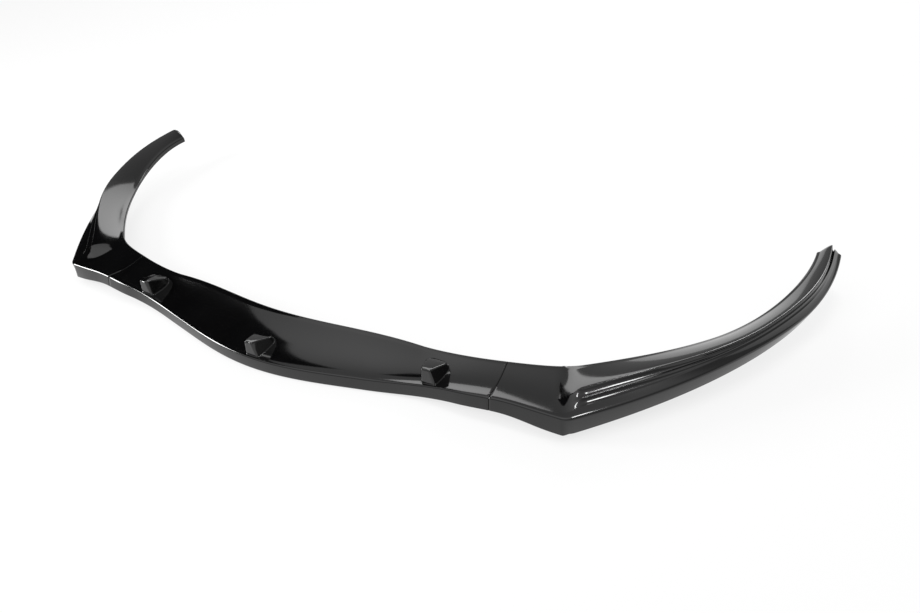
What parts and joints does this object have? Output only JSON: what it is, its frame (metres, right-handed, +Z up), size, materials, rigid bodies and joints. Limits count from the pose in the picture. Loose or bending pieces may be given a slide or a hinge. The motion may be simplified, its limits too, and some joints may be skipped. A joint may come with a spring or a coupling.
{
  "type": "front splitter lip",
  "caption": "Wide, shallow splitter lip for the front of a saloon car, in gloss black plastic, with swept-back fluted arms, small fins and bolted seams.",
  "frame": {"origin": "on the middle plane, halfway along the lip from front to back, level with its lowest edge", "axes": "+X is the car's left, -Y is the front of the car, +Z is up"},
  "size_m": [1.8216, 0.6439, 0.1054],
  "materials": {
    "black_plastic": "high-gloss black moulded plastic",
    "zinc_steel": "bright zinc-plated steel"
  },
  "bodies": {
    "root": {"centre_section": "black_plastic", "left_section": "black_plastic", "right_section": "black_plastic", "joint_bolts": "zinc_steel", "joint_washers": "zinc_steel", "joint_nuts": "zinc_steel"}
  },
  "joints": []
}
